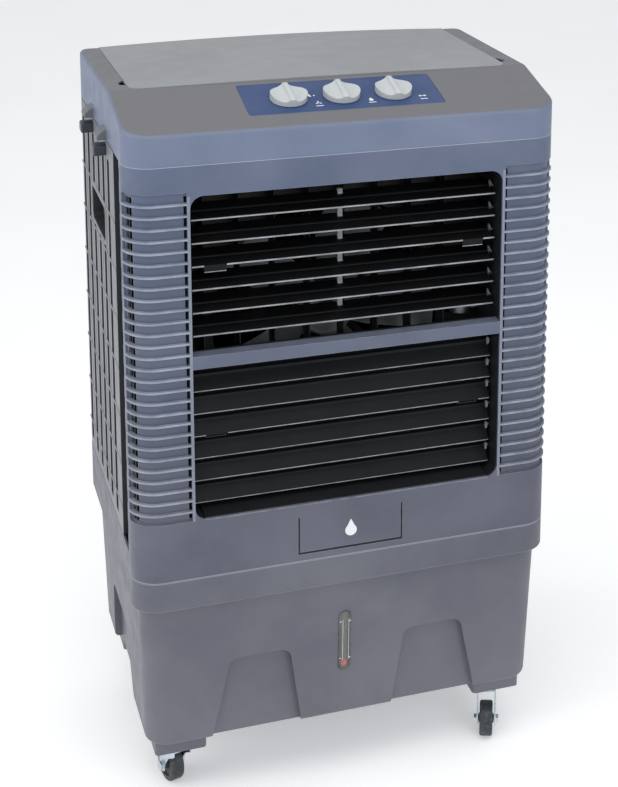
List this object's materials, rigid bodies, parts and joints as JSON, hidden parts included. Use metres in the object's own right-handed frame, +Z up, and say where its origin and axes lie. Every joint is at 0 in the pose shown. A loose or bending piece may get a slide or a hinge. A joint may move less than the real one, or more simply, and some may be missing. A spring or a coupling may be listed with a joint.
{
  "type": "portable evaporative cooler",
  "caption": "Upright evaporative air cooler on swivel casters, with a moulded tank, two louvre banks, a hinged top lid, sloping knob panel and removable pad grilles.",
  "frame": {"origin": "on the floor under the middle of the overall box", "axes": "+Z up, -Y towards the louvred front, +X to the right as seen from the front"},
  "size_m": [0.645, 0.4454, 1.0389],
  "materials": {
    "tank_plastic": "moulded polypropylene, fine satin texture",
    "housing_plastic": "moulded polypropylene, fine satin texture",
    "cover_plastic": "moulded polypropylene, fine satin texture",
    "lid_plastic": "light grey moulded plastic",
    "panel_blue": "printed semi-gloss overlay",
    "knob_white": "off-white moulded plastic",
    "black_plastic": "satin black moulded plastic",
    "grille_plastic": "grey moulded plastic",
    "clear_plastic": "clear acrylic",
    "float_red": "red moulded float",
    "zinc_steel": "bright zinc plated steel",
    "motor_steel": "painted steel",
    "wheel_rubber": "dark hard rubber tread",
    "pad_fibre": "treated cellulose cooling media",
    "brass_fitting": "machined brass",
    "cord_rubber": "black flexible jacket",
    "fan_plastic": "glass filled grey plastic"
  },
  "bodies": {
    "root": {"water_tank": "tank_plastic", "sight_gauge": "clear_plastic", "inlet_valve": "brass_fitting", "drain_plug": "black_plastic", "water_pump": "black_plastic", "front_housing": "housing_plastic", "swing_motor": "motor_steel", "fan_shroud": "black_plastic", "fan_motor": "motor_steel", "rear_frame": "black_plastic", "cooling_pads": "pad_fibre", "water_distributor": "black_plastic", "top_cover": "cover_plastic", "control_panel": "panel_blue", "power_cord": "cord_rubber"},
    "lid": {"lid": "lid_plastic"},
    "fan_knob": {"fan_knob": "knob_white"},
    "pump_knob": {"pump_knob": "knob_white"},
    "swing_knob": {"swing_knob": "knob_white"},
    "fan_rotor": {"fan_rotor": "fan_plastic"},
    "gauge_float": {"gauge_float": "float_red"},
    "upper_louver_1": {"upper_louver_1": "black_plastic"},
    "upper_louver_2": {"upper_louver_2": "black_plastic"},
    "upper_louver_3": {"upper_louver_3": "black_plastic"},
    "upper_louver_4": {"upper_louver_4": "black_plastic"},
    "upper_louver_5": {"upper_louver_5": "black_plastic"},
    "upper_louver_6": {"upper_louver_6": "black_plastic"},
    "upper_louver_link": {"upper_louver_link": "black_plastic"},
    "lower_louver_1": {"lower_louver_1": "black_plastic"},
    "lower_louver_2": {"lower_louver_2": "black_plastic"},
    "lower_louver_3": {"lower_louver_3": "black_plastic"},
    "lower_louver_4": {"lower_louver_4": "black_plastic"},
    "lower_louver_5": {"lower_louver_5": "black_plastic"},
    "lower_louver_6": {"lower_louver_6": "black_plastic"},
    "lower_louver_link": {"lower_louver_link": "black_plastic"},
    "swing_vane_1": {"swing_vane_1": "black_plastic"},
    "swing_vane_2": {"swing_vane_2": "black_plastic"},
    "swing_vane_3": {"swing_vane_3": "black_plastic"},
    "swing_vane_4": {"swing_vane_4": "black_plastic"},
    "swing_vane_5": {"swing_vane_5": "black_plastic"},
    "swing_vane_6": {"swing_vane_6": "black_plastic"},
    "swing_vane_7": {"swing_vane_7": "black_plastic"},
    "swing_vane_8": {"swing_vane_8": "black_plastic"},
    "vane_link": {"vane_link": "black_plastic"},
    "swing_crank": {"swing_crank": "knob_white"},
    "left_grille": {"left_grille": "grille_plastic"},
    "right_grille": {"right_grille": "grille_plastic"},
    "rear_grille": {"rear_grille": "grille_plastic"},
    "left_front_latch": {"left_front_latch": "black_plastic"},
    "left_rear_latch": {"left_rear_latch": "black_plastic"},
    "right_front_latch": {"right_front_latch": "black_plastic"},
    "right_rear_latch": {"right_rear_latch": "black_plastic"},
    "front_left_caster_fork": {"front_left_caster_fork": "zinc_steel"},
    "front_left_caster_wheel": {"front_left_caster_wheel": "wheel_rubber"},
    "front_right_caster_fork": {"front_right_caster_fork": "zinc_steel"},
    "front_right_caster_wheel": {"front_right_caster_wheel": "wheel_rubber"},
    "rear_left_caster_fork": {"rear_left_caster_fork": "zinc_steel"},
    "rear_left_caster_wheel": {"rear_left_caster_wheel": "wheel_rubber"},
    "rear_right_caster_fork": {"rear_right_caster_fork": "zinc_steel"},
    "rear_right_caster_wheel": {"rear_right_caster_wheel": "wheel_rubber"}
  },
  "joints": [
    {"name": "lid_hinge", "type": "hinge", "parent": "root", "child": "lid", "pos_m": [0, 0.20325, 1.022], "axis": [-1, 0, 0], "range_deg": [0, 95]},
    {"name": "fan_knob_turn", "type": "hinge", "parent": "root", "child": "fan_knob", "pos_m": [-0.068, -0.14425, 1.02018], "axis": [0, 0.2337, -0.9723], "range_deg": [0, 150]},
    {"name": "pump_knob_turn", "type": "hinge", "parent": "root", "child": "pump_knob", "pos_m": [0.007, -0.14425, 1.02018], "axis": [0, 0.2337, -0.9723], "range_deg": [0, 90]},
    {"name": "swing_knob_turn", "type": "hinge", "parent": "root", "child": "swing_knob", "pos_m": [0.082, -0.14425, 1.02018], "axis": [0, 0.2337, -0.9723], "range_deg": [0, 90]},
    {"name": "fan_spin", "type": "hinge", "parent": "root", "child": "fan_rotor", "pos_m": [0, -0.07375, 0.69], "axis": [0, 1, 0], "continuous": true},
    {"name": "float_rise", "type": "slide", "parent": "root", "child": "gauge_float", "axis": [0, -0.0497, 0.9988], "range_m": [0, 0.074]},
    {"name": "upper_louver_1_tilt", "type": "hinge", "parent": "root", "child": "upper_louver_1", "pos_m": [0, -0.17975, 0.882], "axis": [1, 0, 0], "range_deg": [-30, 42]},
    {"name": "upper_louver_2_tilt", "type": "hinge", "parent": "root", "child": "upper_louver_2", "pos_m": [0, -0.17975, 0.8492], "axis": [1, 0, 0], "range_deg": [-30, 42]},
    {"name": "upper_louver_3_tilt", "type": "hinge", "parent": "root", "child": "upper_louver_3", "pos_m": [0, -0.17975, 0.8164], "axis": [1, 0, 0], "range_deg": [-30, 42]},
    {"name": "upper_louver_4_tilt", "type": "hinge", "parent": "root", "child": "upper_louver_4", "pos_m": [0, -0.17975, 0.7836], "axis": [1, 0, 0], "range_deg": [-30, 42]},
    {"name": "upper_louver_5_tilt", "type": "hinge", "parent": "root", "child": "upper_louver_5", "pos_m": [0, -0.17975, 0.7508], "axis": [1, 0, 0], "range_deg": [-30, 42]},
    {"name": "upper_louver_6_tilt", "type": "hinge", "parent": "root", "child": "upper_louver_6", "pos_m": [0, -0.17975, 0.718], "axis": [1, 0, 0], "range_deg": [-30, 42]},
    {"name": "upper_link_pivot", "type": "hinge", "parent": "upper_louver_1", "child": "upper_louver_link", "pos_m": [0, -0.16019, 0.88616], "axis": [1, 0, 0], "range_deg": [-42, 30]},
    {"name": "lower_louver_1_tilt", "type": "hinge", "parent": "root", "child": "lower_louver_1", "pos_m": [0, -0.17975, 0.648], "axis": [1, 0, 0], "range_deg": [-66, 4]},
    {"name": "lower_louver_2_tilt", "type": "hinge", "parent": "root", "child": "lower_louver_2", "pos_m": [0, -0.17975, 0.61512], "axis": [1, 0, 0], "range_deg": [-66, 4]},
    {"name": "lower_louver_3_tilt", "type": "hinge", "parent": "root", "child": "lower_louver_3", "pos_m": [0, -0.17975, 0.58224], "axis": [1, 0, 0], "range_deg": [-66, 4]},
    {"name": "lower_louver_4_tilt", "type": "hinge", "parent": "root", "child": "lower_louver_4", "pos_m": [0, -0.17975, 0.54936], "axis": [1, 0, 0], "range_deg": [-66, 4]},
    {"name": "lower_louver_5_tilt", "type": "hinge", "parent": "root", "child": "lower_louver_5", "pos_m": [0, -0.17975, 0.51648], "axis": [1, 0, 0], "range_deg": [-66, 4]},
    {"name": "lower_louver_6_tilt", "type": "hinge", "parent": "root", "child": "lower_louver_6", "pos_m": [0, -0.17975, 0.4836], "axis": [1, 0, 0], "range_deg": [-66, 4]},
    {"name": "lower_link_pivot", "type": "hinge", "parent": "lower_louver_1", "child": "lower_louver_link", "pos_m": [0, -0.16744, 0.66376], "axis": [1, 0, 0], "range_deg": [-4, 66]},
    {"name": "swing_vane_1_swing", "type": "hinge", "parent": "root", "child": "swing_vane_1", "pos_m": [-0.19, -0.12975, 0.7], "axis": [0, 0, 1], "range_deg": [-35, 35]},
    {"name": "swing_vane_2_swing", "type": "hinge", "parent": "root", "child": "swing_vane_2", "pos_m": [-0.14, -0.12975, 0.7], "axis": [0, 0, 1], "range_deg": [-35, 35]},
    {"name": "swing_vane_3_swing", "type": "hinge", "parent": "root", "child": "swing_vane_3", "pos_m": [-0.09, -0.12975, 0.7], "axis": [0, 0, 1], "range_deg": [-35, 35]},
    {"name": "swing_vane_4_swing", "type": "hinge", "parent": "root", "child": "swing_vane_4", "pos_m": [-0.04, -0.12975, 0.7], "axis": [0, 0, 1], "range_deg": [-35, 35]},
    {"name": "swing_vane_5_swing", "type": "hinge", "parent": "root", "child": "swing_vane_5", "pos_m": [0.01, -0.12975, 0.7], "axis": [0, 0, 1], "range_deg": [-35, 35]},
    {"name": "swing_vane_6_swing", "type": "hinge", "parent": "root", "child": "swing_vane_6", "pos_m": [0.06, -0.12975, 0.7], "axis": [0, 0, 1], "range_deg": [-35, 35]},
    {"name": "swing_vane_7_swing", "type": "hinge", "parent": "root", "child": "swing_vane_7", "pos_m": [0.11, -0.12975, 0.7], "axis": [0, 0, 1], "range_deg": [-35, 35]},
    {"name": "swing_vane_8_swing", "type": "hinge", "parent": "root", "child": "swing_vane_8", "pos_m": [0.16, -0.12975, 0.7], "axis": [0, 0, 1], "range_deg": [-35, 35]},
    {"name": "vane_link_pivot", "type": "hinge", "parent": "swing_vane_1", "child": "vane_link", "pos_m": [-0.19, -0.11575, 0.7], "axis": [0, 0, 1], "range_deg": [-35, 35]},
    {"name": "crank_turn", "type": "hinge", "parent": "root", "child": "swing_crank", "pos_m": [0.196, -0.11575, 0.69], "axis": [0, 0, 1], "continuous": true},
    {"name": "left_grille_pull", "type": "slide", "parent": "root", "child": "left_grille", "axis": [-1, 0, 0], "range_m": [0, 0.15]},
    {"name": "right_grille_pull", "type": "slide", "parent": "root", "child": "right_grille", "axis": [1, 0, 0], "range_m": [0, 0.15]},
    {"name": "rear_grille_pull", "type": "slide", "parent": "root", "child": "rear_grille", "axis": [0, 1, 0], "range_m": [0, 0.15]},
    {"name": "left_front_latch_turn", "type": "hinge", "parent": "left_grille", "child": "left_front_latch", "pos_m": [-0.31, -0.04975, 0.943], "axis": [-1, 0, 0], "range_deg": [0, 90]},
    {"name": "left_rear_latch_turn", "type": "hinge", "parent": "left_grille", "child": "left_rear_latch", "pos_m": [-0.31, 0.07825, 0.943], "axis": [-1, 0, 0], "range_deg": [0, 90]},
    {"name": "right_front_latch_turn", "type": "hinge", "parent": "right_grille", "child": "right_front_latch", "pos_m": [0.31, -0.04975, 0.943], "axis": [1, 0, 0], "range_deg": [0, 90]},
    {"name": "right_rear_latch_turn", "type": "hinge", "parent": "right_grille", "child": "right_rear_latch", "pos_m": [0.31, 0.07825, 0.943], "axis": [1, 0, 0], "range_deg": [0, 90]},
    {"name": "front_left_caster_swivel", "type": "hinge", "parent": "root", "child": "front_left_caster_fork", "pos_m": [-0.239, -0.14975, 0.079], "axis": [0, 0, 1], "continuous": true},
    {"name": "front_left_wheel_spin", "type": "hinge", "parent": "front_left_caster_fork", "child": "front_left_caster_wheel", "pos_m": [-0.24547, -0.1256, 0.026], "axis": [0.9659, 0.2588, 0], "continuous": true},
    {"name": "front_right_caster_swivel", "type": "hinge", "parent": "root", "child": "front_right_caster_fork", "pos_m": [0.239, -0.14975, 0.079], "axis": [0, 0, 1], "continuous": true},
    {"name": "front_right_wheel_spin", "type": "hinge", "parent": "front_right_caster_fork", "child": "front_right_caster_wheel", "pos_m": [0.23004, -0.17309, 0.026], "axis": [-0.9336, 0.3584, 0], "continuous": true},
    {"name": "rear_left_caster_swivel", "type": "hinge", "parent": "root", "child": "rear_left_caster_fork", "pos_m": [-0.239, 0.14025, 0.079], "axis": [0, 0, 1], "continuous": true},
    {"name": "rear_left_wheel_spin", "type": "hinge", "parent": "rear_left_caster_fork", "child": "rear_left_caster_wheel", "pos_m": [-0.21438, 0.13591, 0.026], "axis": [-0.1736, -0.9848, 0], "continuous": true},
    {"name": "rear_right_caster_swivel", "type": "hinge", "parent": "root", "child": "rear_right_caster_fork", "pos_m": [0.239, 0.14025, 0.079], "axis": [0, 0, 1], "continuous": true},
    {"name": "rear_right_wheel_spin", "type": "hinge", "parent": "rear_right_caster_fork", "child": "rear_right_caster_wheel", "pos_m": [0.24505, 0.16451, 0.026], "axis": [0.9703, -0.2419, 0], "continuous": true}
  ],
  "couplings": [
    {"joint": "upper_louver_2_tilt", "follows": "upper_louver_1_tilt", "ratio": 1},
    {"joint": "upper_louver_3_tilt", "follows": "upper_louver_1_tilt", "ratio": 1},
    {"joint": "upper_louver_4_tilt", "follows": "upper_louver_1_tilt", "ratio": 1},
    {"joint": "upper_louver_5_tilt", "follows": "upper_louver_1_tilt", "ratio": 1},
    {"joint": "upper_louver_6_tilt", "follows": "upper_louver_1_tilt", "ratio": 1},
    {"joint": "upper_link_pivot", "follows": "upper_louver_1_tilt", "ratio": -1},
    {"joint": "lower_louver_2_tilt", "follows": "lower_louver_1_tilt", "ratio": 1},
    {"joint": "lower_louver_3_tilt", "follows": "lower_louver_1_tilt", "ratio": 1},
    {"joint": "lower_louver_4_tilt", "follows": "lower_louver_1_tilt", "ratio": 1},
    {"joint": "lower_louver_5_tilt", "follows": "lower_louver_1_tilt", "ratio": 1},
    {"joint": "lower_louver_6_tilt", "follows": "lower_louver_1_tilt", "ratio": 1},
    {"joint": "lower_link_pivot", "follows": "lower_louver_1_tilt", "ratio": -1},
    {"joint": "swing_vane_2_swing", "follows": "swing_vane_1_swing", "ratio": 1},
    {"joint": "swing_vane_3_swing", "follows": "swing_vane_1_swing", "ratio": 1},
    {"joint": "swing_vane_4_swing", "follows": "swing_vane_1_swing", "ratio": 1},
    {"joint": "swing_vane_5_swing", "follows": "swing_vane_1_swing", "ratio": 1},
    {"joint": "swing_vane_6_swing", "follows": "swing_vane_1_swing", "ratio": 1},
    {"joint": "swing_vane_7_swing", "follows": "swing_vane_1_swing", "ratio": 1},
    {"joint": "swing_vane_8_swing", "follows": "swing_vane_1_swing", "ratio": 1},
    {"joint": "vane_link_pivot", "follows": "swing_vane_1_swing", "ratio": -1}
  ]
}
